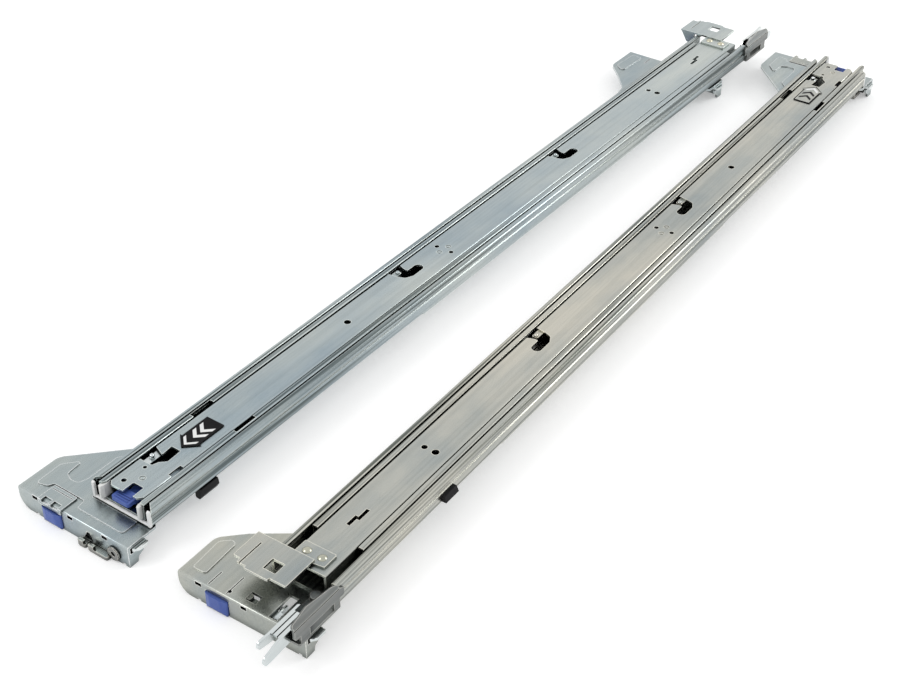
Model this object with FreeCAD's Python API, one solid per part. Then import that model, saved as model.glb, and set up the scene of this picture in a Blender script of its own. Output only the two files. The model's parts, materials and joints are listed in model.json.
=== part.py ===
"""Sliding server rail pair, 2U, tool-less: two three-member ball slides lying on their rack side.

Units are millimetres. Each rail is built in its own frame:
  u  across the rail, + toward the rack floor when mounted
  v  along the rail, 0 at the front post face, + toward the rear post
  z  up from the floor the pair lies on (toward the server when mounted)
The left rail keeps that frame. The right rail is its mirror image and lies reversed beside it.
Last, the pair is moved so that the middle of its bounding box is the origin, on the floor.
"""
import FreeCAD, Part
import math
import os

Vector = FreeCAD.Vector

# ---- driving dimensions ------------------------------------------------------------------------
FLANGE_HEIGHT = 87.0          # post flange, 2 rack units less clearance
FLANGE_LOW_U = 22.7           # lower edge of the flange, from the slide's centre line
FLANGE_HIGH_U = FLANGE_LOW_U - FLANGE_HEIGHT
PLATE_TOP = 14.4              # face the slide is riveted to, above the floor
SHEET = 1.8                   # bracket sheet thickness
REAR_FLANGE = {"left": 678.4, "right": 746.3}     # rear post face at rest

RIGHT_ORIGIN = (99.4, 751.8)   # where the right rail's front centre lies
RIGHT_TURN = math.degrees(0.028)  # how far the right rail lies out of parallel

RUN = 0.3                     # clearance between moving faces
SLIDE_DEPTH = 14.0            # three-member slide, back to lips
SLIDE_TOP = PLATE_TOP + SLIDE_DEPTH

OUTER_V = (20.0, 718.0)
OUTER_HALF = 22.2
OUTER_SHEET = 1.5
LIP_REACH = 3.9               # how far the outer lip turns in over the balls

MIDDLE_V = (20.0, 698.0)
MIDDLE_REST = {"left": 0.0, "right": -9.0}        # the right one lies a little forward
MIDDLE_HALF = OUTER_HALF - 4.9      # leaves the outer balls their track
MIDDLE_SHEET = 1.1
MIDDLE_LIP = 3.7

INNER_V = (22.0, 716.0)
INNER_HALF = MIDDLE_HALF - 4.4      # leaves the inner balls their track
INNER_SHEET = 1.2
INNER_TOP = SLIDE_TOP - 0.3

CAGE_SHEET = 0.7
OUTER_CAGE_V = (200.0, 518.0)
INNER_CAGE_V = (203.0, 533.0)
OUTER_BALL = {"radius": 1.6, "u": OUTER_HALF - 3.4, "z": SLIDE_TOP - OUTER_SHEET - RUN - 1.6}
INNER_BALL = {"radius": 1.5, "u": MIDDLE_HALF - 2.8, "z": SLIDE_TOP - MIDDLE_SHEET - 1.3 - 1.5}
BALLS_PER_ROW = 5

RETURN_RUN = 11.5             # side return behind the flange
RETURN_TOP = 8.8
PLATE_RUN = 22.0              # plate at full width behind the flange
FRONT_WING = ((-34.0, 62.0, 10.0), (-22.0, 75.0, 4.0))
REAR_WING = {"left": ((-51.0, 44.0, 6.0), (-37.0, 60.0, 14.0), (-33.4, 79.0, 4.0)),
             "right": ((-51.0, 43.5, 6.0), (-31.0, 57.5, 8.0), (-22.0, 66.0, 4.0))}
WING_CORNER = (31.0, 9.0)     # where the wing's straight end stops, and its radius
STRAP_HALF = 15.0
STRAP_END = 100.0             # where the rear wing has narrowed to the strap
STRAP_RUN = 416.0             # telescoping strap of the rear bracket
GUIDE_V = (270.0, 560.0)
GUIDE_SHEET = 1.5
FRONT_TAIL_HALF = 17.0
FRONT_TAIL = 106.0            # front bracket's tail under the slide

BUTTON_U = (-44.7, -29.3)
BUTTON_Z = (0.6, 10.8)
LATCH_Z = (PLATE_TOP - SHEET - RUN - 2.0, PLATE_TOP - SHEET - RUN)
LATCH_V = (4.5, 8.9)
LATCH_TRAVEL = 3.0
LATCH_REACH = 3.2             # how far the polished tip stands out of the flange end
POST_STUD = (11.5, 5.2)         # u, z of the locating stud
STUD_HEAD = 4.6
STUD_HEAD_RUN = 1.6
LATCH_END = BUTTON_U[1] + 1.5 + RUN + LATCH_TRAVEL
RIVET = 1.9                   # rivet shank radius
RIVET_GAP = 0.1
RIVET_HEAD = 3.4
GUIDE_RIVET = 1.2
GUIDE_RIVET_HEAD = 1.8

CABLE_PLATE_V = (711.0, 735.0)
CABLE_PLATE_U = (-36.0, 2.0)
CABLE_SHEET = 1.4
CABLE_HOLE = (-12.5, 726.8, 8.0)    # square hole: centre u, v and side

CABLE_SHELF_V = (OUTER_V[1] + RUN, OUTER_V[1] + 34.0)
CABLE_WALL = {"low": 21.0, "bend": 27.5, "past": 3.0, "lean": 35.0}
HOOK_U = (9.8, 18.3)                # outsides of the cable hook's cheeks
HOOK_TOP = 23.4

FRONT_RIVETS = [(side * 11.0, v) for v in (38.0, 94.0) for side in (-1, 1)]
GUIDE_HALF = OUTER_HALF - 1.2       # outside of the strap guides
GUIDE_RIVETS = [(side * (GUIDE_HALF - 2.0), v) for side in (-1, 1) for v in (285.0, 415.0, 545.0)]
CABLE_RIVETS = ((-6.5, 707.0), (3.8, 707.0))
HOOK_FINGERS = ((-13.5, -8.0), (-5.5, 9.0))
HOOK_REACH = 4.0
HOOK_Z = (0.3, 2.8)

LOCK_PIN = (-9.0, 53.2)             # pin that locks the server's front shoulder screw
STANDOFF_SLOTS = (276.0, 468.0)     # where the two rear J-slots open


# ---- small helpers -----------------------------------------------------------------------------
def outline(points, place):
    """Closed wire through (a, b) or (a, b, corner radius) points, put in space by place(a, b)."""
    starts, ends, arcs = [], [], []
    count = len(points)
    for i, point in enumerate(points):
        here = Vector(point[0], point[1], 0)
        radius = point[2] if len(point) > 2 else 0.0
        back = Vector(points[i - 1][0], points[i - 1][1], 0) - here
        ahead = Vector(points[(i + 1) % count][0], points[(i + 1) % count][1], 0) - here
        if radius <= 0:
            starts.append(here)
            ends.append(here)
            arcs.append(None)
            continue
        back.normalize()
        ahead.normalize()
        half = back.getAngle(ahead) / 2.0
        reach = radius / math.tan(half)
        middle = back + ahead
        middle.normalize()
        centre = here + middle * (radius / math.sin(half))
        starts.append(here + back * reach)
        ends.append(here + ahead * reach)
        arcs.append(centre - middle * radius)
    edges = []
    for i in range(count):
        if arcs[i] is not None:
            edges.append(Part.Arc(place(starts[i].x, starts[i].y), place(arcs[i].x, arcs[i].y),
                                  place(ends[i].x, ends[i].y)).toShape())
        following = (i + 1) % count
        if ends[i].distanceToPoint(starts[following]) > 1e-6:
            edges.append(Part.makeLine(place(ends[i].x, ends[i].y),
                                       place(starts[following].x, starts[following].y)))
    return Part.Wire(edges)


def slab(points, z0, z1):
    """Flat sheet: (u, v) outline between two heights."""
    face = Part.Face(outline(points, lambda a, b: Vector(a, b, z0)))
    return face.extrude(Vector(0, 0, z1 - z0))


def bar(points, v0, v1):
    """Rolled bar: (u, z) outline between two stations."""
    face = Part.Face(outline(points, lambda a, b: Vector(a, v0, b)))
    return face.extrude(Vector(0, v1 - v0, 0))


def wall(points, u0, u1):
    """Upright sheet: (v, z) outline between two sides."""
    face = Part.Face(outline(points, lambda a, b: Vector(u0, a, b)))
    return face.extrude(Vector(u1 - u0, 0, 0))


def box(u0, u1, v0, v1, z0, z1):
    return Part.makeBox(u1 - u0, v1 - v0, z1 - z0, Vector(u0, v0, z0))


def peg(u, v, z0, z1, radius):
    return Part.makeCylinder(radius, z1 - z0, Vector(u, v, z0), Vector(0, 0, 1))


def peg_v(u, z, v0, v1, radius):
    return Part.makeCylinder(radius, v1 - v0, Vector(u, v0, z), Vector(0, 1, 0))


def peg_u(v, z, u0, u1, radius):
    return Part.makeCylinder(radius, u1 - u0, Vector(u0, v, z), Vector(1, 0, 0))


def fuse(first, *others):
    return first.fuse(list(others)).removeSplitter()


def both_sides(half):
    """Symmetric section from its +u half."""
    return half + [(-p[0],) + tuple(p[1:]) for p in reversed(half)]


def long_hole(u, v0, v1, radius, z0, z1):
    """Slot with round ends along v."""
    return fuse(peg(u, v0, z0, z1, radius), peg(u, v1, z0, z1, radius),
                box(u - radius, u + radius, v0, v1, z0, z1))


def flip(shape, flange):
    """Turns a bracket built inward from v = 0 into one built forward from the rear post face."""
    turned = shape.mirror(Vector(0, 0, 0), Vector(0, 1, 0))
    turned.translate(Vector(0, flange, 0))
    return turned


# ---- the three slide members -------------------------------------------------------------------
def raceway(u, z, radius, span):
    return [peg_v(side * u, z, span[0] - 5, span[1] + 5, radius) for side in (-1, 1)]


def outer_member():
    h, t, top = OUTER_HALF, OUTER_SHEET, SLIDE_TOP
    crease = PLATE_TOP + 8.2
    half = [(h, PLATE_TOP, 2.0), (h, crease - 0.8, 0.3), (h - 0.7, crease, 0.3), (h, crease + 0.8, 0.3),
            (h, top, 1.6), (h - LIP_REACH, top, 0.6), (h - LIP_REACH, top - t), (h - t, top - t, 0.5),
            (h - t, crease + 0.9, 0.2), (h - t - 0.6, crease, 0.2), (h - t, crease - 0.9, 0.2),
            (h - t, PLATE_TOP + t, 0.6)]
    body = bar(both_sides(half), *OUTER_V)
    holes = [long_hole(0, v, v + 40, 4.0, 0, SLIDE_TOP - 10) for v in (150, 240, 590, 660)]
    holes += [peg(u, v, 0, SLIDE_TOP - 10, RIVET + RIVET_GAP) for u, v in FRONT_RIVETS]
    holes += [peg(u, v, 0, SLIDE_TOP - 10, GUIDE_RIVET + RIVET_GAP) for u, v in GUIDE_RIVETS]
    # front corners of the lips are cut back so the inner member leads in
    holes += [slab([(side * (h - 4.2), 19), (side * (h + 0.3), 19), (side * (h + 0.3), 20.01),
                    (side * (h - 4.2), 24)], SLIDE_TOP - 3, SLIDE_TOP + 1) for side in (-1, 1)]
    return body.cut(holes)


def web_low():
    """Underside of the intermediate member's web: clear of the outer ball cage."""
    return PLATE_TOP + OUTER_SHEET + CAGE_SHEET + 2 * RUN


def web_top():
    return web_low() + MIDDLE_SHEET


def middle_member():
    h, t, top = MIDDLE_HALF, MIDDLE_SHEET, SLIDE_TOP
    low, front, rear = web_low(), MIDDLE_V[0], MIDDLE_V[1]
    half = [(h, low, 1.0), (h, top, 1.0), (h - MIDDLE_LIP, top, 0.5), (h - MIDDLE_LIP, top - t),
            (h - t, top - t, 0.4), (h - t, low + t, 0.4)]
    body = bar(both_sides(half), *MIDDLE_V)
    cuts = raceway(OUTER_BALL["u"], OUTER_BALL["z"], OUTER_BALL["radius"] + RUN, MIDDLE_V)
    cuts += raceway(INNER_BALL["u"], INNER_BALL["z"], INNER_BALL["radius"] + RUN, MIDDLE_V)
    cuts += [long_hole(0, v, v + 30, 5.0, low - 1, low + t + 1) for v in (90, 240, 400, 540, 630)]
    # lip notches behind the front catch, and the tapered tips of the lips
    cuts.append(box(h - 5.3, h - 0.9, 96.5, 113.0, top - 2, top + 1))
    cuts.append(box(0.9 - h, 5.3 - h, 92.0, 109.0, top - 2, top + 1))
    cuts += [slab([(side * (h - 5.3), front - 1), (side * (h + 0.7), front - 1), (side * (h - 2.3), front),
                   (side * (h - 5.3), front + 5)], top - 2, top + 1) for side in (-1, 1)]
    # the web stops short of the lips at the rear
    cuts.append(box(-12.5, 12.5, rear - 12, rear + 1, low - 1, low + t + 1))
    return body.cut(cuts)


def j_slot(v, bottom, top):
    """Open entry at the rack-up edge, then a leg toward the rear that ends round."""
    points = [(-INNER_HALF - 1, v), (-6.0, v + 1.2, 3.0), (-0.5, v + 3.2, 3.0), (2.2, v + 8.5, 3.0),
              (2.2, v + 21.5, 3.3), (-4.6, v + 21.5, 3.3), (-4.6, v + 11.0, 1.0), (-7.4, v + 11.0, 1.0),
              (-INNER_HALF - 1, v + 13.5)]
    return slab(points, bottom, top)


def entry_tab(v):
    """Formed tab with a dome, just inside a J-slot's entry."""
    top = INNER_TOP - INNER_SHEET
    leaf = slab([(-11.2, v - 4.0, 0.8), (-7.0, v - 4.0, 0.8), (-7.0, v + 8.2, 1.6), (-11.2, v + 8.2, 1.6)],
                top - 1.0, top)
    dome = Part.makeSphere(1.7, Vector(-9.1, v + 6.2, top)).common(peg(-9.1, v + 6.2, top - 0.5, top + 3, 2))
    return fuse(leaf, dome)


def inner_member():
    h, t, top = INNER_HALF, INNER_SHEET, INNER_TOP
    low = inner_low()
    half = [(h, top, 1.1), (h, low, 0.3), (h - t, low, 0.3), (h - t, top - t, 0.4)]
    body = bar(both_sides(half), *INNER_V)
    under, over = top - t - 3, top + 1
    cuts = raceway(INNER_BALL["u"], INNER_BALL["z"], INNER_BALL["radius"] + RUN, INNER_V)
    cuts += [j_slot(v, under, over) for v in STANDOFF_SLOTS]
    # front catch slot: entry at the rack-up edge with a drop-in window behind it
    cuts.append(slab([(-h - 1, 47.0), (-3.0, 47.0, 1.0), (-1.6, 51.0, 0.6), (2.2, 54.6, 0.6),
                      (1.6, 65.3, 0.6), (-5.4, 65.3, 0.6), (-4.6, 57.0, 0.6), (-h - 1, 60.5)], under, over))
    # edge notch beside it on the rack-down side
    cuts.append(box(h - 2.6, h + 1, 46.5, 56.0, low - 1, over))
    # square notch in the front edge, over the release tab
    cuts.append(slab([(-0.8, INNER_V[0] - 1), (-0.8, INNER_V[0] + 8.5, 0.8), (7.0, INNER_V[0] + 8.5, 0.8),
                      (7.0, INNER_V[0] - 1)], under, over))
    # rear hook slot, stepped
    step = INNER_V[1] - 46.0
    cuts.append(slab([(-2.6, step), (-0.5, step), (-0.5, step - 7.5), (1.7, step - 7.5), (1.7, step + 2.0),
                      (-0.3, step + 2.0), (-0.3, step + 8.3), (-2.6, step + 8.3)], under, over))
    cuts += [peg(u, v, under, over, r) for u, v, r in
             ((-0.2, 218.4, 2.3), (-4.4, 602.4, 1.9), (3.4, 602.6, 2.3), (-6.2, 322.0, 1.6), (5.6, 322.0, 1.6),
              (-6.5, 28.7, 1.6), (-4.8, 43.4, 1.2))]
    cuts += [peg(u, v, top - 0.35, over, 1.9).cut(peg(u, v, top - 2, over, 1.1)) for u, v in
             ((-0.8, 317.4), (0.1, 326.4), (0.7, 36.0))]
    # rounded front corners
    cuts += [slab([(side * (h - 4), INNER_V[0] - 1), (side * (h + 1), INNER_V[0] - 1),
                   (side * (h + 1), INNER_V[0] + 3.2), (side * (h - 0.2), INNER_V[0] + 3.2)],
                  low - 1, over) for side in (-1, 1)]
    return fuse(body.cut(cuts), *[entry_tab(v) for v in STANDOFF_SLOTS])


def inner_low():
    """Lower edge of the inner member's sides: clear of the inner ball cage's web."""
    return web_top() + CAGE_SHEET + 2 * RUN


# ---- ball cages and balls ----------------------------------------------------------------------
def ball_stations(span):
    step = (span[1] - span[0] - 24.0) / (BALLS_PER_ROW - 1)
    return [span[0] + 12.0 + i * step for i in range(BALLS_PER_ROW)]


def cage(span, low, reach, height, ball):
    t = CAGE_SHEET
    half = [(reach, low, 0.7), (reach, height), (reach - t, height), (reach - t, low + t, 0.3)]
    body = bar(both_sides(half), *span)
    cuts = [peg_u(v, ball["z"], -reach - 2, reach + 2, ball["radius"] + RUN)
            for v in ball_stations(span)]
    cuts += [long_hole(0, v - 14, v + 14, reach * 0.55, low - 1, low + t + 1)
             for v in (span[0] + 60, (span[0] + span[1]) / 2, span[1] - 60)]
    return body.cut(cuts)


def balls(span, ball):
    return Part.makeCompound([Part.makeSphere(ball["radius"], Vector(side * ball["u"], v, ball["z"]))
                              for v in ball_stations(span) for side in (-1, 1)])


def outer_cage():
    low = PLATE_TOP + OUTER_SHEET + RUN
    return cage(OUTER_CAGE_V, low, OUTER_BALL["u"] + CAGE_SHEET / 2, SLIDE_TOP - OUTER_SHEET - RUN,
                OUTER_BALL)


def inner_cage():
    low = inner_low() - RUN - CAGE_SHEET
    return cage(INNER_CAGE_V, low, INNER_BALL["u"] + CAGE_SHEET / 2, SLIDE_TOP - 2.4, INNER_BALL)


# ---- brackets ----------------------------------------------------------------------------------
def bracket_blank(wing, tail_half, tail_start, tail_end):
    """Wing plate, post flange and its side return, before the cut-outs."""
    z0, z1 = PLATE_TOP - SHEET, PLATE_TOP
    high, low = FLANGE_HIGH_U, FLANGE_LOW_U
    plate = slab([(high, 0), (high,) + WING_CORNER, *wing, (-tail_half, tail_start, 4.0),
                  (-tail_half, tail_end, 3.0), (tail_half, tail_end, 3.0), (tail_half, PLATE_RUN + 4, 2.0),
                  (low, PLATE_RUN, 2.0), (low, 0)], z0, z1)
    flange = bar([(high, PLATE_TOP), (high, 0, 9.0), (low, 0, 1.5), (low, PLATE_TOP)], 0, SHEET)
    side = wall([(0, RETURN_TOP), (0, 0), (6.5, 0, 1.0), (7.5, 3.5, 1.0), (RETURN_RUN, 5.4, 1.0),
                 (RETURN_RUN, RETURN_TOP, 0.8)], low - SHEET, low)
    body = fuse(plate, flange, side)
    outside = [edge for edge in body.Edges
               if abs(edge.BoundBox.ZMin - PLATE_TOP) < 1e-6 and abs(edge.BoundBox.ZMax - PLATE_TOP) < 1e-6
               and edge.BoundBox.YMax < 1e-6 and edge.Length > 20]
    return body.makeFillet(1.2, outside)


def latch_seats():
    """Two hooks under the plate that carry the latch bar, and the spring's seat."""
    top = PLATE_TOP - SHEET
    foot_top = LATCH_Z[0] - RUN
    seats = []
    back = LATCH_V[1] + RUN
    for u, width in ((-22.5, 1.3), (7.0, 4.0)):
        seats.append(box(u, u + width, back, back + 1.4, foot_top - 1.4, top))
        seats.append(box(u, u + width, LATCH_V[0], back + 1.4, foot_top - 1.4, foot_top))
    seats.append(box(-16.0, -14.6, 10.2, 15.0, 6.2, top))
    return seats


def bend_cuts(slots):
    """Relief slots along the bend, drain notches, and the window for the latch button."""
    cuts = [box(u0, u1, -1, SHEET + 1.2, 11.4, 13.6) for u0, u1 in slots]
    cuts += [box(u, u + 2.6, -1, SHEET + 1, -1, 1.2) for u in (-51.8, 17.0)]
    cuts.append(box(BUTTON_U[0] - RUN, BUTTON_U[1] + RUN, -1, SHEET + 1, -1, BUTTON_Z[1] + RUN))
    return cuts


def panel(points, height=0.7):
    """Shallow pressed panel on the wing."""
    return slab(points, PLATE_TOP - 0.2, PLATE_TOP + height)


def front_panel():
    """One raised field from the wing to the slide's mouth, with a deep bay beside the slide."""
    beside = 0.4 - OUTER_HALF - 0.8
    return panel([(-57.5, 7.5, 2.0), (-58.0, 27.0, 5.0), (-49.6, 36.0, 1.2), (-48.6, 23.5, 2.5),
                  (-43.5, 21.0, 3.0), (-38.0, 21.4, 3.0), (-36.0, 27.0, 3.0), (-36.0, 50.0, 2.0),
                  (-30.5, 56.0, 2.0), (beside, 56.0), (beside, 18.0), (12.5, 18.0), (12.5, 6.5, 2.5),
                  (-22.9, 6.5, 1.5), (-24.0, 13.0, 1.5), (-48.0, 13.0, 1.5), (-50.0, 9.6, 1.5)])


def rear_panel():
    return panel([(-59.0, 6.2, 2.0), (-60.4, 29.0, 4.0), (-51.5, 37.4, 3.0), (-50.0, 6.6, 2.0)])


def front_bracket():
    body = fuse(bracket_blank(FRONT_WING, FRONT_TAIL_HALF, 81.0, FRONT_TAIL), *latch_seats(), front_panel())
    cuts = bend_cuts(((-52.6, -48.4), (-24.4, -20.2), (2.6, 6.8)))
    cuts += [peg(u, v, 0, 20, RIVET + RIVET_GAP) for u, v in FRONT_RIVETS]
    # catch window with its bent tongue, stud hole and the two notches the post hooks leave by
    cuts.append(bar([(-12.1, 4.2), (-5.1, 4.2), (-7.1, 9.4), (-9.1, 9.4)], -1, SHEET + 1))
    cuts.append(peg_v(POST_STUD[0], POST_STUD[1], -1, SHEET + 1, 2.6))
    cuts += [box(u0 - RUN, u1 + RUN, -1, SHEET + 1, -1, HOOK_Z[1] + RUN) for u0, u1 in HOOK_FINGERS]
    body = body.cut(cuts)
    tongue = bar([(-12.1, 4.6), (-10.9, 4.6), (-9.1, 8.4), (-10.3, 8.4)], SHEET - 0.4, SHEET + 2.4)
    return fuse(body, tongue)


def rear_bracket(side):
    """Wing bracket on a long strap that telescopes under the slide."""
    blank = bracket_blank(REAR_WING[side], STRAP_HALF, STRAP_END, STRAP_RUN)
    body = fuse(blank, *latch_seats(), rear_panel())
    cuts = bend_cuts(((-52.0, -47.6), (-20.6, -16.7)))
    z0, z1 = PLATE_TOP - SHEET - 1, PLATE_TOP + 1
    # two slits free the tongue over the button; the longer one ends in a small hole
    cuts += [box(-44.3, -43.7, SHEET, 12.5, z0, z1), box(-31.8, -31.2, SHEET, 16.0, z0, z1),
             peg(-31.0, 4.0, z0, z1, 1.1)]
    # square window and the clearance slot beside the cable arm latch, then the strap's slots
    cuts.append(box(-21.0, -14.0, 4.5, 10.5, z0, z1))
    cuts.append(box(-2.9, 2.5, SHEET, 20.0, z0, z1))
    cuts += [long_hole(0, v, v + 55, 3.5, z0, z1) for v in (120, 215, 310)]
    cuts += [peg(0, v, z0, z1, 2.2) for v in (195, 290, 396)]
    body = body.cut(cuts)
    tongue = slab([(-21.2, 5.0), (-18.6, 5.8, 0.6), (-18.6, 9.2, 0.6), (-21.2, 10.0)],
                  PLATE_TOP - SHEET, PLATE_TOP - 0.4)
    return flip(fuse(body, tongue), REAR_FLANGE[side])


def strap_guides():
    """Z-section runners riveted under the slide that carry the strap's edges."""
    inner = STRAP_HALF + RUN
    low = PLATE_TOP - SHEET - RUN
    t = GUIDE_SHEET
    under = STRAP_HALF - 3.5
    section = [(inner, PLATE_TOP), (GUIDE_HALF, PLATE_TOP), (GUIDE_HALF, PLATE_TOP - t),
               (inner + t, PLATE_TOP - t, 0.5), (inner + t, low - t, 0.8), (under, low - t), (under, low),
               (inner, low)]
    holes = [peg(u, v, 0, 20, GUIDE_RIVET + RIVET_GAP) for u, v in GUIDE_RIVETS]
    runners = [bar([(side * p[0],) + tuple(p[1:]) for p in section], *GUIDE_V).cut(holes)
               for side in (-1, 1)]
    return Part.makeCompound(runners)


def rivets(places, underside, shank_radius, head_radius):
    """Flush above, round head below."""
    group = []
    for u, v in places:
        shank = peg(u, v, underside, PLATE_TOP + OUTER_SHEET, shank_radius)
        head = Part.makeSphere(head_radius * 1.3, Vector(u, v, underside + head_radius * 0.95))
        head = head.common(peg(u, v, underside - 1.2, underside, head_radius))
        group.append(fuse(shank, head))
    return Part.makeCompound(group)


def post_hooks():
    """Hardened plate under the front bracket with two fingers that catch the post's square holes."""
    z0, z1 = HOOK_Z
    low, high, far = HOOK_FINGERS[0][0], HOOK_FINGERS[1][1], 15.5
    front, back = SHEET + RUN, 17.2
    plate = slab([(low, front), (high, front), (high, 4.2), (far, 4.2, 1.0), (far, back), (low, back)], z0, z1)
    parts = [plate, box(low, far, back - 1.6, back, z0, PLATE_TOP - SHEET)]
    for u0, u1 in HOOK_FINGERS:
        parts.append(slab([(u0, front + 1), (u0, -HOOK_REACH, 1.0), (u1, -HOOK_REACH, 1.6), (u1, front + 1)],
                          z0, z1))
        parts.append(box(u0, u0 + 4.0, -HOOK_REACH, -HOOK_REACH + 2.0, z0 + 0.5, z1 + 2.0))
    # the finger beside the stud is relieved round the stud's head
    return fuse(*parts).cut(peg_v(*POST_STUD, -STUD_HEAD_RUN - RUN, 0, STUD_HEAD + RUN))


def post_stud():
    """Round locating stud with a tapped hole, staked into the flange."""
    u, z = POST_STUD
    head = peg_v(u, z, -STUD_HEAD_RUN, 0, STUD_HEAD)
    shank = peg_v(u, z, -STUD_HEAD_RUN, SHEET, 2.5)
    staked = peg_v(u, z, SHEET, SHEET + 0.9, 3.0)
    body = fuse(head, shank, staked).cut(peg_v(u, z, -2, SHEET + 2, 1.5))
    rim = [edge for edge in body.Edges if abs(edge.BoundBox.YMax + STUD_HEAD_RUN) < 1e-6 and edge.Length > 20]
    return body.makeChamfer(0.4, rim)


def latch_cover():
    """Sheet cover over the button: top plate, two slits and a front lip."""
    z0, z1 = PLATE_TOP, PLATE_TOP + 1.0
    u0, u1 = BUTTON_U[0] - 2.0, BUTTON_U[1] + 1.0
    top = slab([(u0, -1.0), (u1, -1.0), (u1, 12.2, 1.0), (u0, 12.2, 1.0)], z0, z1)
    lip = box(u0 + 0.6, u1 - 0.4, -1.0, 0.0, 11.6, z1)
    body = fuse(top, lip)
    cuts = [box(u, u + 5.6, -2, 2.6, PLATE_TOP - 0.6, z1 + 1) for u in (u0 + 2.6, u1 - 8.2)]
    cuts.append(box(u0 + 1.4, u1 - 1.4, 9.4, 9.9, z1 - 0.4, z1 + 1))
    return body.cut(cuts)


def button():
    """Push button with a barrel face and a retaining lip behind the flange."""
    u0, u1 = BUTTON_U
    z0, z1 = BUTTON_Z
    body = slab([(u0, 7.4, 1.0), (u0, -1.0, 1.2), (u0 + 4.0, -2.3, 5.0), (u1 - 4.0, -2.3, 5.0),
                 (u1, -1.0, 1.2), (u1, 7.4, 1.0)], z0, z1)
    # the touch face slopes in toward the outer edge
    body = body.cut(wall([(-3.5, z0 - 1), (-3.5, z0 + 3.2), (-2.31, z0 + 3.2, 3.0), (-0.9, z0 - 1)],
                         u0 - 1, u1 + 1))
    lip = box(u0 - 1.8, u1 + 1.5, SHEET + RUN, SHEET + RUN + 1.5, z0 + 1.5, z1 - 0.5)
    hollow = box(u0 + 1.8, u1 - 1.8, SHEET + 1.0, 8.0, z0 + 1.8, z1 - 1.8)
    return fuse(body, lip).cut(hollow)


def latch():
    """Sliding bar behind the flange whose polished tip stands out beside it."""
    z0, z1 = LATCH_Z
    v0, v1 = LATCH_V
    low, tip = FLANGE_LOW_U, FLANGE_LOW_U + LATCH_REACH
    body = slab([(LATCH_END, v0), (low + 0.6, v0 - 1.6, 0.8), (tip, v0 + 1.6, 1.2), (tip, 13.0, 1.0),
                 (low - 3.0, 13.0), (low - 5.0, v1), (LATCH_END, v1)], z0, z1)
    ear = box(-2.0, -0.6, v1 - 0.5, 14.8, 6.8, z1)
    fork = box(LATCH_END, LATCH_END + 1.6, v0, v1, z0 - 3.0, z1)
    groove = box(tip - 1.9, tip - 1.1, 3.0, 14.0, z1 - 0.5, z1 + 1)
    return fuse(body, ear, fork).cut(groove)


def latch_spring():
    """Coil between the fixed seat and the latch's ear."""
    coil_radius, wire, turns = 1.9, 0.32, 6.0
    length = 11.6
    helix = Part.makeHelix(length / turns, length, coil_radius)
    start = Part.Wire([Part.Circle(Vector(coil_radius, 0, 0), Vector(0, 1, 0), wire).toShape()])
    coil = Part.Wire(helix.Edges).makePipeShell([start], True, True)
    coil.rotate(Vector(0, 0, 0), Vector(0, 1, 0), 90)
    coil.translate(Vector(-14.1, 12.6, 9.0))
    return coil


# ---- front end of the slide --------------------------------------------------------------------
def bumper():
    """Bright strip across the slide's mouth, with an ear up each wall of the outer member."""
    z0, z1 = PLATE_TOP + 0.9, web_low() - RUN
    v1 = OUTER_V[0]
    v0 = v1 - 1.6
    ear_in, ear_out, ear_top = OUTER_HALF - OUTER_SHEET - 0.3, OUTER_HALF, SLIDE_TOP - OUTER_SHEET
    cross = wall([(v0, z0, 0.5), (v0, z1, 0.9), (v1, z1), (v1, z0)], -ear_out, ear_out)
    profile = [(v0, z0), (v0, ear_top - 1, 1.0), (v1, ear_top, 0.4), (v1, z0)]
    return fuse(cross, wall(profile, -ear_out, -ear_in), wall(profile, ear_in, ear_out))


def guide_blocks():
    """Nylon lead-in blocks in the front corners of the intermediate member."""
    inner, outer = INNER_HALF + RUN, MIDDLE_HALF - MIDDLE_SHEET - 0.4
    z0, z1 = web_top(), SLIDE_TOP - MIDDLE_SHEET
    front = MIDDLE_V[0] - 2.6
    group = []
    for side in (-1, 1):
        points = [(side * outer, front + 7.7), (side * outer, front, 0.8), (side * (inner + 0.8), front, 0.6),
                  (side * inner, front + 2.4), (side * inner, front + 7.7)]
        group.append(slab(points, z0, z1))
    return Part.makeCompound(group)


def release_tab():
    """Blue slider that frees the inner member; its finger pad shows below the front edge."""
    z0 = inner_low() + 0.4
    pad_low, pad_top = INNER_TOP - 5.8, INNER_TOP - 3.2
    pad = slab([(-6.2, 27.0), (-6.2, 17.6, 1.6), (7.2, 17.6, 1.6), (7.2, 27.0)], pad_low, pad_top)
    stem = slab([(-3.0, 24.0), (6.0, 24.0), (6.0, 44.0, 1.0), (-3.0, 44.0, 1.0)], z0, pad_low + 0.6)
    spine = box(0.0, 4.0, 33.0, 44.0, z0, INNER_TOP - INNER_SHEET)
    ribs = [box(-4.4, 5.4, v, v + 0.7, pad_top - 0.2, pad_top + 0.4) for v in (18.9, 20.6, 22.3)]
    return fuse(pad, stem, spine, *ribs)


def lock_spring():
    """Leaf spring under the inner member's face with the pin that locks the server's shoulder screw."""
    z1 = INNER_TOP - INNER_SHEET
    u, v = LOCK_PIN
    leaf = slab([(u - 2.4, v - 18.0, 1.0), (u + 2.4, v - 18.0, 1.0), (u + 2.4, v + 8.0, 1.0),
                 (u - 2.4, v + 8.0, 1.0)], z1 - 1.6, z1 - 1.0)
    riser = box(u - 2.0, u + 2.0, v - 17.4, v - 11.0, z1 - 1.0, z1)
    pin = peg(u, v, z1 - 1.0, z1 + 2.0, 1.5)
    tip = [edge for edge in pin.Edges if abs(edge.BoundBox.ZMin - z1 - 2.0) < 1e-6]
    return fuse(leaf, riser, pin.makeFillet(1.2, tip))


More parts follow.
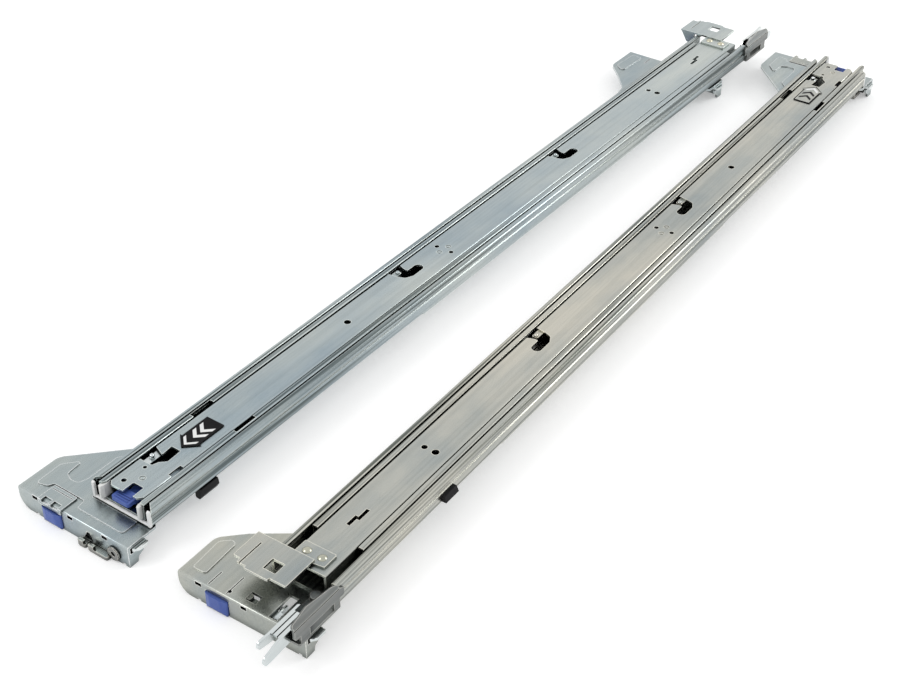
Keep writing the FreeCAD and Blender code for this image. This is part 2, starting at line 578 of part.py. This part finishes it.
# ---- cable arm fittings ------------------------------------------------------------------------
def cable_plate():
    """Stepped plate on the inner member's rear end with the square hole the cable arm clips into."""
    v0, v1 = CABLE_PLATE_V
    u0, u1 = CABLE_PLATE_U
    t, low = CABLE_SHEET, INNER_TOP
    lift = 1.1
    tab = slab([(-12.0, v0 - 10.0, 1.0), (9.0, v0 - 10.0, 1.0), (9.0, v0 + 1.0), (u1, v0 + 2.0),
                (-12.0, v0 + 2.0)], low, low + t)
    jog = box(-12.0, u1, v0, v0 + 2.0, low, low + lift + t)
    plate = slab([(u0, v0), (u1, v0), (u1, v1, 1.0), (-9.0, v1), (-9.0, v1 + 1.6, 0.6), (-25.0, v1 + 1.6, 0.6),
                  (-25.0, v1), (-31.0, v1, 0.6), (-31.0, v1 - 3.0, 0.6), (u0, v1 - 3.0, 1.0)],
                 low + lift, low + lift + t)
    apron = bar([(u0, low + lift + t), (-23.2, low + lift + t), (-23.2, low - 7.5, 2.0), (-30.0, low - 7.5, 2.0)],
                v0, v0 + t)
    body = fuse(tab, jog, plate, apron)
    hole_u, hole_v, side = CABLE_HOLE
    half = side / 2
    cuts = [box(hole_u - half, hole_u + half, hole_v - half, hole_v + half, low - 1, low + 5),
            box(-29.6, -28.8, v0 + 6.0, v1 + 2, low + lift - 1, low + 5)]
    cuts += [peg(u, v, low - 1, low + 5, RIVET + RIVET_GAP) for u, v in CABLE_RIVETS]
    return body.cut(cuts)


def cable_rivets():
    top = INNER_TOP + CABLE_SHEET
    group = []
    for u, v in CABLE_RIVETS:
        dome = Part.makeSphere(3.4, Vector(u, v, top - 2.0)).common(peg(u, v, top, top + 2, 3.0))
        group.append(fuse(peg(u, v, INNER_TOP, top, RIVET), dome))
    return Part.makeCompound(group)


def cable_bracket():
    """Outer cable arm bracket: shelf on the slide's rear end, and a side wall that leans in at the top."""
    u0, t = OUTER_HALF, 1.5
    v0, v1 = CABLE_SHELF_V
    low, bend, rear = CABLE_WALL["low"], CABLE_WALL["bend"], v1 + CABLE_WALL["past"]
    shelf = slab([(7.0, v0), (u0 + t, v0), (u0 + t, v1, 1.0), (7.0, v1, 2.0)], PLATE_TOP, PLATE_TOP + t)
    side = wall([(v0 - 4.0, low, 1.0), (rear, low, 1.5), (rear, bend), (v0 - 1.0, bend),
                 (v0 - 4.0, bend - 1.8, 1.0)], u0, u0 + t)
    heels = [box(u0, u0 + t, a, b, PLATE_TOP, low + 0.6)
             for a, b in ((v0, v0 + 5.0), (v1 - 9.0, v1 - 1.5))]
    upper = wall([(v0, bend), (rear, bend), (rear, bend + 3.2, 2.0), (rear - 14.0, bend + 5.6, 3.0),
                  (v0 + 4.0, bend + 3.6, 3.0), (v0, bend + 2.4, 0.8)], u0, u0 + t)
    upper.rotate(Vector(u0 + t / 2, 0, bend), Vector(0, 1, 0), -CABLE_WALL["lean"])
    stud_u, stud_v, z = 10.6, v0 + 3.9, PLATE_TOP + t
    stud = fuse(peg(stud_u, stud_v, z, z + 1.0, 3.4), peg(stud_u, stud_v, z + 1.0, z + 2.0, 2.2),
                peg(stud_u, stud_v, z + 2.0, z + 3.2, 3.1))
    return fuse(shelf, side, upper, stud, *heels)


def cable_hook():
    """Bright channel that the cable arm latches over: two cheeks with round noses and a slit crown."""
    z0, top, t = PLATE_TOP + 1.5, HOOK_TOP, 1.5
    left, right = HOOK_U
    rear = CABLE_SHELF_V[1]
    high = wall([(rear - 18.0, z0), (rear, z0), (rear + 8.0, z0 + 1.5, 4.0), (rear + 17.0, z0 + 3.4, 2.4),
                 (rear + 17.0, top + 1.0, 2.4), (rear + 8.0, top, 6.0), (rear - 17.0, top, 2.0),
                 (rear - 20.0, z0 + 4.0, 1.0)], left, left + t)
    low = wall([(rear - 14.0, z0), (rear, z0), (rear + 12.0, z0 - 1.0, 4.0), (rear + 21.0, z0 - 1.0, 2.4),
                (rear + 21.0, z0 + 4.2, 2.6), (rear + 10.0, top, 8.0), (rear - 12.0, top, 2.0),
                (rear - 16.0, z0 + 4.0, 1.0)], right - t, right)
    floor = box(left, right, rear - 16.0, rear - 2.0, z0, z0 + 1.4)
    crown = slab([(left + 0.2, rear - 12.0), (right - 0.2, rear - 12.0), (right - 0.2, rear + 7.0),
                  (left + 0.2, rear + 7.0)], top - 1.3, top)
    slits = [box(u, u + 0.7, rear - 13.0, rear + 8.0, top - 2.0, top + 1.0)
             for u in (left + t + 0.9, right - t - 1.6)]
    tie = box(left + t, right - t, rear - 4.0, rear - 1.0, z0 + 1.0, top - 1.0)
    return fuse(floor, tie, crown.cut(slits), high, low)


def side_clip(side):
    """Black plastic glide: under the front of one rail, beside the rear of the other."""
    if side == "left":
        u = OUTER_HALF
        return bar([(u - 4.6, PLATE_TOP), (u + 0.4, PLATE_TOP), (u + 1.2, PLATE_TOP - 4.0, 1.0),
                    (u - 1.2, PLATE_TOP - 7.8, 1.0), (u - 4.6, PLATE_TOP - 7.8, 1.0)], 58.0, 72.0)
    return bar([(OUTER_HALF, PLATE_TOP + 1.9), (OUTER_HALF, PLATE_TOP + 6.2),
                (OUTER_HALF + 2.2, PLATE_TOP + 6.2, 0.8), (OUTER_HALF + 4.0, PLATE_TOP + 1.9, 0.8)],
               612.0, 624.0)


# ---- one rail, then the pair -------------------------------------------------------------------
def rail(side):
    flange = REAR_FLANGE[side]
    pieces = {
        "outer_member": outer_member(),
        "front_bracket": front_bracket(),
        "strap_guides": strap_guides(),
        "rivets": Part.makeCompound([
            rivets(FRONT_RIVETS, PLATE_TOP - SHEET, RIVET, RIVET_HEAD),
            rivets(GUIDE_RIVETS, PLATE_TOP - GUIDE_SHEET, GUIDE_RIVET, GUIDE_RIVET_HEAD)]),
        "front_post_hooks": post_hooks(),
        "front_post_stud": post_stud(),
        "front_latch_cover": latch_cover(),
        "front_latch_button": button(),
        "front_latch": latch(),
        "front_latch_spring": latch_spring(),
        "rear_bracket": rear_bracket(side),
        "rear_latch_button": flip(button(), flange),
        "rear_latch": flip(latch(), flange),
        "rear_latch_spring": flip(latch_spring(), flange),
        "outer_ball_cage": outer_cage(),
        "outer_balls": balls(OUTER_CAGE_V, OUTER_BALL),
        "intermediate_member": middle_member(),
        "front_bumper": bumper(),
        "guide_blocks": guide_blocks(),
        "inner_ball_cage": inner_cage(),
        "inner_balls": balls(INNER_CAGE_V, INNER_BALL),
        "inner_member": inner_member(),
        "release_tab": release_tab(),
        "lock_spring": lock_spring(),
        "cable_plate": cable_plate(),
        "cable_rivets": cable_rivets(),
        "cable_bracket": cable_bracket(),
        "cable_hook": cable_hook(),
    }
    pieces["front_clip" if side == "left" else "rear_clip"] = side_clip(side)
    # the intermediate member rests a little out of line; its cages follow at half the distance
    rest = MIDDLE_REST[side]
    for name in ("intermediate_member", "guide_blocks"):
        pieces[name].translate(Vector(0, rest, 0))
    for name in ("outer_ball_cage", "outer_balls", "inner_ball_cage", "inner_balls"):
        pieces[name].translate(Vector(0, rest / 2, 0))
    return pieces


def lay(shape, side):
    """Puts a piece of a rail where the pair lies."""
    if side == "left":
        return shape
    laid = shape.mirror(Vector(0, 0, 0), Vector(0, 1, 0))
    laid.rotate(Vector(0, 0, 0), Vector(0, 0, 1), RIGHT_TURN)
    laid.translate(Vector(RIGHT_ORIGIN[0], RIGHT_ORIGIN[1], 0))
    return laid


pair = {}
for side in ("left", "right"):
    for name, shape in rail(side).items():
        pair["%s_%s" % (side, name)] = lay(shape, side)

# the pair's origin: the middle of its bounding box, on the floor
bounds = Part.makeCompound(list(pair.values())).optimalBoundingBox(False, False)
to_origin = Vector(-bounds.Center.x, -bounds.Center.y, 0)

os.makedirs("parts", exist_ok=True)
for name, shape in pair.items():
    shape.translate(to_origin)
    shape.exportStep("parts/%s.step" % name)
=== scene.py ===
"""Looks of the sliding server rail pair: plated steel, plastic, arrow stickers, floor and light."""
import json
import math
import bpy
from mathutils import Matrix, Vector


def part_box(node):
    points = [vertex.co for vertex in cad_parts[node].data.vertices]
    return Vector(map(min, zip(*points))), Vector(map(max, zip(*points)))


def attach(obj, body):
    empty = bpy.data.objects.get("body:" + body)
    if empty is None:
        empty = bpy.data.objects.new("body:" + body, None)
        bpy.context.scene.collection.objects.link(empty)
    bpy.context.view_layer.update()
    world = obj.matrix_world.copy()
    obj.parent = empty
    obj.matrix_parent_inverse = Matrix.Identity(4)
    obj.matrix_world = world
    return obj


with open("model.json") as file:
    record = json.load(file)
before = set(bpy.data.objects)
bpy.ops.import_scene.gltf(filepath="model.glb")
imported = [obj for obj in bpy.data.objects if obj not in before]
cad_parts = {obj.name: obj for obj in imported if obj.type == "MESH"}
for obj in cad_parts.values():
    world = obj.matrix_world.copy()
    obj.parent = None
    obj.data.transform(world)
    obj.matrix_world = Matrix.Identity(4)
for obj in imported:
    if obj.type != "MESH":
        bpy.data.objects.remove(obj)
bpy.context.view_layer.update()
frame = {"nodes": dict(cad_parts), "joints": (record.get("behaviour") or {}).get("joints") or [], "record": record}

import bmesh
import bpy
from mathutils import Matrix, Vector

nodes = frame["nodes"]
record = frame["record"]


def slide_axis(side):
    """The way the inner member of a rail runs out, toward that rail's front."""
    return next(j["axis"] for j in frame["joints"] if j["name"] == side + "_inner_slide")


# ---- material helpers --------------------------------------------------------------------------
def new_material(name):
    material = bpy.data.materials.new(name)
    material.use_nodes = True
    tree = material.node_tree
    return material, tree, tree.nodes["Principled BSDF"]


def noise(tree, scale, stretch=(1, 1, 1), detail=3.0, rough=0.55, turn=0.0):
    """Noise in the part's own space, stretched along a rail that lies turned by an angle."""
    where = tree.nodes.new("ShaderNodeTexCoord")
    mapping = tree.nodes.new("ShaderNodeMapping")
    mapping.vector_type = "TEXTURE"
    mapping.inputs["Scale"].default_value = tuple(1 / share for share in stretch)
    mapping.inputs["Rotation"].default_value = (0, 0, turn)
    texture = tree.nodes.new("ShaderNodeTexNoise")
    texture.inputs["Scale"].default_value = scale
    texture.inputs["Detail"].default_value = detail
    texture.inputs["Roughness"].default_value = rough
    tree.links.new(where.outputs["Object"], mapping.inputs["Vector"])
    tree.links.new(mapping.outputs["Vector"], texture.inputs["Vector"])
    return texture.outputs["Fac"]


def ramp(tree, source, stops):
    """Colour ramp over a 0 to 1 source: stops are (position, linear colour)."""
    node = tree.nodes.new("ShaderNodeValToRGB")
    elements = node.color_ramp.elements
    while len(elements) < len(stops):
        elements.new(0.5)
    for element, (position, colour) in zip(elements, stops):
        element.position = position
        element.color = (*colour, 1.0)
    tree.links.new(source, node.inputs["Fac"])
    return node.outputs["Color"]


def spread(tree, source, low, high, start=0.3, end=0.7):
    """The source's range from start to end, taken to the range from low to high."""
    node = tree.nodes.new("ShaderNodeMapRange")
    node.inputs["From Min"].default_value = start
    node.inputs["From Max"].default_value = end
    node.inputs["To Min"].default_value = low
    node.inputs["To Max"].default_value = high
    tree.links.new(source, node.inputs["Value"])
    return node.outputs["Result"]


def mixed(tree, mode, amount, base, top):
    """The base with the top mixed in; amount, base and top are plain values or sources."""
    node = tree.nodes.new("ShaderNodeMix")
    node.data_type = "RGBA"
    node.blend_type = mode
    if isinstance(amount, float):
        node.inputs["Factor"].default_value = amount
    else:
        tree.links.new(amount, node.inputs["Factor"])
    for socket, value in (("A", base), ("B", top)):
        if isinstance(value, tuple):
            node.inputs[socket].default_value = (*value, 1.0)
        else:
            tree.links.new(value, node.inputs[socket])
    return node.outputs["Result"]


def painted_crevice_shade(tree, colour, reach, dark):
    """The colour, darkened as painted shade in seams and gaps narrower than the reach."""
    # painted shade: ambient occlusion darkens the colour toward the dark one where other surfaces are near
    cavity = tree.nodes.new("ShaderNodeAmbientOcclusion")
    cavity.samples = 8
    cavity.inputs["Distance"].default_value = reach
    open_share = spread(tree, cavity.outputs["AO"], 0.0, 1.0, 0.25, 0.80)
    return mixed(tree, "MIX", open_share, dark, colour)


def edge_highlight_mask(tree, radius):
    """Mask of a painted highlight: 1 on the sharp edges of sheet metal and 0 away from them."""
    rounded = tree.nodes.new("ShaderNodeBevel")
    rounded.samples = 4
    rounded.inputs["Radius"].default_value = radius
    true = tree.nodes.new("ShaderNodeNewGeometry")
    product = tree.nodes.new("ShaderNodeVectorMath")
    product.operation = "DOT_PRODUCT"
    tree.links.new(rounded.outputs["Normal"], product.inputs[0])
    tree.links.new(true.outputs["Normal"], product.inputs[1])
    return spread(tree, product.outputs["Value"], 1.0, 0.0, 0.86, 0.995)


def roughen(tree, shader, source, strength, depth):
    """Lets the source stand out of the surface as bump, by the depth in metres."""
    bump = tree.nodes.new("ShaderNodeBump")
    bump.inputs["Strength"].default_value = strength
    bump.inputs["Distance"].default_value = depth
    tree.links.new(source, bump.inputs["Height"])
    tree.links.new(bump.outputs["Normal"], shader.inputs["Normal"])


# Colours are linear, lengths in metres.
# near-black colour of the painted shade in crevices and gaps
CREVICE_SHADE = (0.022, 0.028, 0.024)
CLOUD_SHADE = (0.78, 0.82, 0.86)    # of the large clouds in the plating
ROLL_MARK_AND_GROOVE_SHADE = (0.24, 0.26, 0.25)     # of the lines along the rail: rolling marks, and painted shade of grooves where the lines are strong
HIGHLIGHT_REACH = 0.0009                 # how far the painted edge highlight reaches from an edge
GRAIN_DEPTH = 0.0001


def plated_steel(name, cool, warm, gloss=(0.24, 0.36), lines=0.3, reach=0.009, edge_highlight=0.0,
                 turn=0.0):
    """Zinc plate: cloudy passivate tint, fine crystal grain, rolling lines along the rail.

    gloss is the range of roughness, lines the strength of the lines along the rail, reach that of the painted
    crevice shade, and edge_highlight how much lighter than the warm colour the painted highlight on an edge is,
    where 0 leaves it out.
    """
    material, tree, shader = new_material(name)
    tint = ramp(tree, noise(tree, 14.0, (1.6, 0.6, 1.0), detail=5.0, rough=0.62),
                [(0.34, cool), (0.66, warm)])
    clouds = ramp(tree, noise(tree, 5.0, (2.0, 1.0, 1.0), detail=4.0, rough=0.6),
                  [(0.35, CLOUD_SHADE), (0.6, (1, 1, 1))])
    clouded = mixed(tree, "MULTIPLY", 1.0, tint, clouds)
    roll_and_groove_lines = noise(tree, 460.0, (1.0, 0.006, 1.0), detail=3.0, rough=0.6, turn=turn)
    # dark lines along the rail: rolling marks, and painted shade of grooves where strong
    marks_and_groove_shade = ramp(tree, roll_and_groove_lines, [(0.40, ROLL_MARK_AND_GROOVE_SHADE), (0.55, (1, 1, 1))])
    colour = mixed(tree, "MULTIPLY", lines, clouded, marks_and_groove_shade)
    # painted highlight: sharp edges are mixed toward a colour lighter than the warm one
    if edge_highlight:
        highlight_colour = tuple(min(1.0, edge_highlight * share) for share in warm)
        colour = mixed(tree, "MIX", edge_highlight_mask(tree, HIGHLIGHT_REACH), colour, highlight_colour)
    # base colour with painted shade in crevices and gaps
    tree.links.new(painted_crevice_shade(tree, colour, reach, CREVICE_SHADE), shader.inputs["Base Color"])
    shader.inputs["Metallic"].default_value = 1.0
    crystals = noise(tree, 2600.0, detail=2.0, rough=0.5)
    tree.links.new(spread(tree, crystals, *gloss), shader.inputs["Roughness"])
    roughen(tree, shader, roll_and_groove_lines, 0.10, GRAIN_DEPTH)
    return material


def moulded(name, dark, light, gloss, grain=900.0, reach=0.003, shine=0.3):
    """Injection-moulded plastic with a fine spark-eroded grain and painted shade in crevices; gloss is its least
    roughness.
    """
    material, tree, shader = new_material(name)
    tint = ramp(tree, noise(tree, 60.0), [(0.35, dark), (0.65, light)])
    # a quarter of the dark colour, as painted shade in crevices and gaps
    shade_colour = tuple(0.25 * share for share in dark)
    tree.links.new(painted_crevice_shade(tree, tint, reach, shade_colour), shader.inputs["Base Color"])
    eroded = noise(tree, grain)
    tree.links.new(spread(tree, eroded, gloss, gloss + 0.15), shader.inputs["Roughness"])
    roughen(tree, shader, eroded, 0.15, GRAIN_DEPTH)
    shader.inputs["Specular IOR Level"].default_value = shine
    return material


# ---- finishes ----------------------------------------------------------------------------------
right_axis = slide_axis("right")
LEAN = {"left": 0.0, "right": math.atan2(-right_axis[0], right_axis[1])}
PLATE = {       # the cool and the warm colour of each rail's plating
    "left": ((0.42, 0.48, 0.50), (0.56, 0.59, 0.56)),
    "right": ((0.38, 0.41, 0.40), (0.58, 0.56, 0.49)),
}
BRACKET = {     # and of its brackets
    "left": ((0.36, 0.42, 0.44), (0.51, 0.54, 0.51)),
    "right": ((0.36, 0.39, 0.38), (0.51, 0.50, 0.43)),
}
# lighter colour of the rounded edge faces, a painted highlight
PAINTED_EDGE_HIGHLIGHT = (0.82, 0.81, 0.76)

zinc, bracket, channel, edge = {}, {}, {}, {}
for side, turn in LEAN.items():
    zinc[side] = plated_steel("zinc_" + side, *PLATE[side], lines=0.12, edge_highlight=1.7, turn=turn)
    bracket[side] = plated_steel("bracket_zinc_" + side, *BRACKET[side], lines=0.08, edge_highlight=2.2,
                                 turn=turn)
    # strong lines: painted shade of grooves on the roll-formed members, over their rolling marks
    channel[side] = plated_steel("channel_zinc_" + side, *PLATE[side], lines=0.95, edge_highlight=1.7,
                                 turn=turn)
    # smoother material with a lighter colour for the rounded edge faces: painted highlight
    edge[side] = plated_steel("zinc_edge_" + side, PLATE[side][1], PAINTED_EDGE_HIGHLIGHT,
                              gloss=(0.14, 0.24), lines=0.1, reach=0.003)
dull = plated_steel("dull_steel", (0.19, 0.20, 0.20), (0.27, 0.27, 0.25),
                    gloss=(0.30, 0.42), edge_highlight=1.8)
bright = plated_steel("nickel_bright", (0.66, 0.70, 0.69), (0.86, 0.87, 0.84),
                      gloss=(0.08, 0.18), lines=0.05, reach=0.006)
hooks = plated_steel("hook_nickel", (0.26, 0.26, 0.25), (0.40, 0.38, 0.34),
                     gloss=(0.18, 0.32), lines=0.1, reach=0.006, edge_highlight=1.8)
yellow = plated_steel("zinc_yellow", (0.50, 0.49, 0.40), (0.64, 0.60, 0.46),
                      gloss=(0.18, 0.30), lines=0.05, reach=0.003)
cage = plated_steel("cage_strip", (0.36, 0.37, 0.37), (0.45, 0.45, 0.43),
                    gloss=(0.20, 0.32), lines=0.3, reach=0.003)
ball_steel = plated_steel("ball_steel", (0.60, 0.61, 0.62), (0.66, 0.66, 0.66),
                          gloss=(0.05, 0.10), lines=0.0, reach=0.002)
blue = moulded("blue_plastic", (0.055, 0.10, 0.36), (0.08, 0.135, 0.43), 0.30)
strip = moulded("white_strip", (0.84, 0.85, 0.85), (0.88, 0.88, 0.87), 0.30, reach=0.0004)
nylon = moulded("natural_nylon", (0.74, 0.75, 0.74), (0.82, 0.82, 0.80), 0.38)
black = moulded("black_plastic", (0.010, 0.010, 0.011), (0.018, 0.018, 0.019), 0.38, shine=0.12)
film = moulded("black_film", (0.008, 0.008, 0.009), (0.013, 0.013, 0.014), 0.35,
               grain=1500.0, shine=0.06)
ink = moulded("white_print", (0.76, 0.77, 0.77), (0.83, 0.83, 0.82), 0.40, grain=1500.0)

SLOT_FINISH = {     # by the record's material slot; zinc_steel is chosen by the rail's side
    "zinc_rivets": yellow,
    "hook_steel": hooks,
    "spring_steel": bright,
    "bright_steel": bright,
    "polished_steel": bright,
    "cage_steel": cage,
    "ball_steel": ball_steel,
    "black_plastic": black,
    "white_nylon": nylon,
    "blue_plastic": blue,
}
PIECE_FINISH = {"front_bumper": strip, "cable_bracket": dull}
ROLLED = ("outer_member", "intermediate_member")
NO_EDGE_HIGHLIGHT = ("ball_steel", "spring_steel")     # slots of balls, coils and thin leaf springs, left without rounded edges and painted edge highlight
COOL_PIECE = "right_front_bracket"          # plated in the cooler run, like the left rail
EDGE_RADIUS = 0.0004
EDGE_ANGLE = math.radians(35)               # edges sharper than this are rounded


def finish_of(node_name, side, piece, slot):
    if piece in PIECE_FINISH:
        return PIECE_FINISH[piece]
    if slot != "zinc_steel":
        return SLOT_FINISH[slot]
    if piece in ROLLED:
        return channel[side]
    kind = bracket if piece.endswith(("bracket", "cover")) else zinc
    return kind["left" if node_name == COOL_PIECE else side]


for part in record["subparts"]:
    node = nodes[part["node"]]
    side, piece = part["node"].split("_", 1)
    slot = part["material_slot"]
    face = finish_of(part["node"], side, piece, slot)
    node.data.materials.clear()
    node.data.materials.append(face)
    if slot in NO_EDGE_HIGHLIGHT:
        continue
    # rounded edge faces take the second material; on zinc that is the painted edge highlight
    node.data.materials.append(edge[side] if slot == "zinc_steel" else face)
    weld = node.modifiers.new("weld", "WELD")
    weld.merge_threshold = 0.00001
    rounding = node.modifiers.new("rounded_edges", "BEVEL")
    rounding.width = EDGE_RADIUS
    rounding.segments = 2
    rounding.limit_method = "ANGLE"
    rounding.angle_limit = EDGE_ANGLE
    rounding.use_clamp_overlap = True
    rounding.harden_normals = True
    rounding.material = 1


# ---- arrow stickers on the inner members -------------------------------------------------------
TIP_BEHIND_FRONT = 0.0455           # of the inner member
HEAD = 0.0085                       # half width of the arrow's head
SHAFT = 0.0068                      # half width of its shaft
POINT = 0.0080                      # length of the point
TAIL = 0.0290                       # length of the whole arrow
RIM = 0.0009                        # black rim of the right arrow
FILM = 0.00008                      # thickness
ON_STEEL = 0.00002                  # lift of a film over the web
ON_FILM = FILM + 0.00003            # lift of what is printed on it


def rail_frame(side):
    """Place of the inner member's middle on its web's top, Y toward the front, and its length."""
    low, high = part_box(side + "_inner_member")
    ahead = Vector(slide_axis(side)).normalized()
    across = Vector((ahead.y, -ahead.x, 0.0))
    if side == "left":
        across = -across
    place = Matrix((across, ahead, Vector((0, 0, 1)))).transposed().to_4x4()
    place.translation = Vector(((low.x + high.x) / 2, (low.y + high.y) / 2, high.z))
    return place, (high.y - low.y) / abs(ahead.y)


def film_piece(name, side, outline, lift, thickness, material):
    """A thin film cut to an outline of (across, behind the tip) points, near the rail's front."""
    place, length = rail_frame(side)
    mesh = bpy.data.meshes.new(name)
    shape = bmesh.new()
    tip = length / 2 - TIP_BEHIND_FRONT
    ring = [shape.verts.new((across, tip - back, lift)) for across, back in outline]
    face = shape.faces.new(ring)
    grown = bmesh.ops.extrude_face_region(shape, geom=[face])
    raised = [item for item in grown["geom"] if isinstance(item, bmesh.types.BMVert)]
    bmesh.ops.translate(shape, verts=raised, vec=(0, 0, thickness))
    bmesh.ops.recalc_face_normals(shape, faces=shape.faces)
    shape.to_mesh(mesh)
    shape.free()
    mesh.materials.append(material)
    sticker = bpy.data.objects.new(name, mesh)
    bpy.context.scene.collection.objects.link(sticker)
    sticker.matrix_world = place
    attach(sticker, side + "_inner")


def arrow(inset):
    """Outline of the arrow, drawn in from its rim by the inset."""
    half = [(HEAD - inset, POINT), (SHAFT - inset, POINT + inset), (SHAFT - inset, TAIL - inset)]
    return [(0, 1.5 * inset), *half, *((-across, back) for across, back in reversed(half))]


def chevron(start, reach, weight):
    """Outline of a V that points forward: reach is its half width, weight that of its stroke."""
    ends = start + reach * (POINT / HEAD)
    return [(0, start), (reach, ends), (reach, ends + weight),
            (0, start + weight), (-reach, ends + weight), (-reach, ends)]


film_piece("left_arrow", "left", arrow(0), ON_STEEL, FILM, film)
for number, start, weight in ((1, 0.0024, 0.0022), (2, 0.0100, 0.0030), (3, 0.0160, 0.0030)):
    film_piece("left_arrow_chevron_%d" % number, "left", chevron(start, 0.0050, weight),
               ON_FILM, FILM, ink)
film_piece("right_arrow", "right", arrow(0), ON_STEEL, FILM, film)
film_piece("right_arrow_field", "right", arrow(RIM), ON_FILM, FILM / 2, zinc["right"])
for number, start, colour in ((1, 0.0030, ink), (2, 0.0100, film), (3, 0.0170, film)):
    film_piece("right_arrow_chevron_%d" % number, "right", chevron(start, 0.0048, 0.0028),
               2 * FILM, FILM / 2, colour)


# ---- floor, light and camera -------------------------------------------------------------------
FLOOR_HALF = 30.0
FLOOR_GLOW = 0.32           # added where the floor is seen, so that it shows white
SKY_LIGHT = 0.76            # of the world on the object; where it is seen it is 1
SOFTBOX = 1.2               # side of each lamp
LENS = 62.955               # mm, on a sensor 36 mm wide
CAMERA_PLACE = (0.48487, -0.77263, 0.61138)
CAMERA_TURN = (53.4493, 0.0058, 35.9480)    # degrees, the photograph's viewing angle


def seen_directly(tree):
    """1 for camera rays and for reflected and refracted ones, which all show the background."""
    rays = tree.nodes.new("ShaderNodeLightPath")
    first = tree.nodes.new("ShaderNodeMath")
    second = tree.nodes.new("ShaderNodeMath")
    first.operation = second.operation = "MAXIMUM"
    tree.links.new(rays.outputs["Is Camera Ray"], first.inputs[0])
    tree.links.new(rays.outputs["Is Glossy Ray"], first.inputs[1])
    tree.links.new(first.outputs[0], second.inputs[0])
    tree.links.new(rays.outputs["Is Transmission Ray"], second.inputs[1])
    return second.outputs[0]


def lamp(name, place, watts):
    """A square softbox that faces the origin."""
    data = bpy.data.lights.new(name, "AREA")
    data.shape = "SQUARE"
    data.size = SOFTBOX
    data.energy = watts
    item = bpy.data.objects.new(name, data)
    item.location = place
    item.rotation_euler = (-Vector(place)).to_track_quat("-Z", "Y").to_euler()
    item.visible_camera = False
    bpy.context.scene.collection.objects.link(item)


floor_mesh = bpy.data.meshes.new("floor")
floor_mesh.from_pydata(
    [(-FLOOR_HALF, -FLOOR_HALF, 0), (FLOOR_HALF, -FLOOR_HALF, 0),
     (FLOOR_HALF, FLOOR_HALF, 0), (-FLOOR_HALF, FLOOR_HALF, 0)], [], [(0, 1, 2, 3)])
floor = bpy.data.objects.new("floor", floor_mesh)
bpy.context.scene.collection.objects.link(floor)
paper, tree, shader = new_material("floor_paper")
shader.inputs["Base Color"].default_value = (0.86, 0.86, 0.86, 1)
shader.inputs["Roughness"].default_value = 0.9
shader.inputs["Specular IOR Level"].default_value = 0.0
shader.inputs["Emission Color"].default_value = (1, 1, 1, 1)
glow = spread(tree, seen_directly(tree), 0.0, FLOOR_GLOW, 0.0, 1.0)
tree.links.new(glow, shader.inputs["Emission Strength"])
floor_mesh.materials.append(paper)

world = bpy.data.worlds.new("studio")
bpy.context.scene.world = world
world.use_nodes = True
tree = world.node_tree
background = tree.nodes["Background"]
background.inputs["Color"].default_value = (1, 1, 1, 1)
sky = spread(tree, seen_directly(tree), SKY_LIGHT, 1.0, 0.0, 1.0)
tree.links.new(sky, background.inputs["Strength"])

lamp("front_softbox", (-1.4, -1.7, 2.1), 17)
lamp("back_softbox", (1.6, 2.1, 1.4), 24)

camera_data = bpy.data.cameras.new("camera")
camera_data.sensor_width = 36.0
camera_data.lens = LENS
camera = bpy.data.objects.new("camera", camera_data)
camera.location = CAMERA_PLACE
camera.rotation_euler = tuple(math.radians(angle) for angle in CAMERA_TURN)
bpy.context.scene.collection.objects.link(camera)
bpy.context.scene.camera = camera
bpy.context.scene.view_settings.view_transform = "Standard"
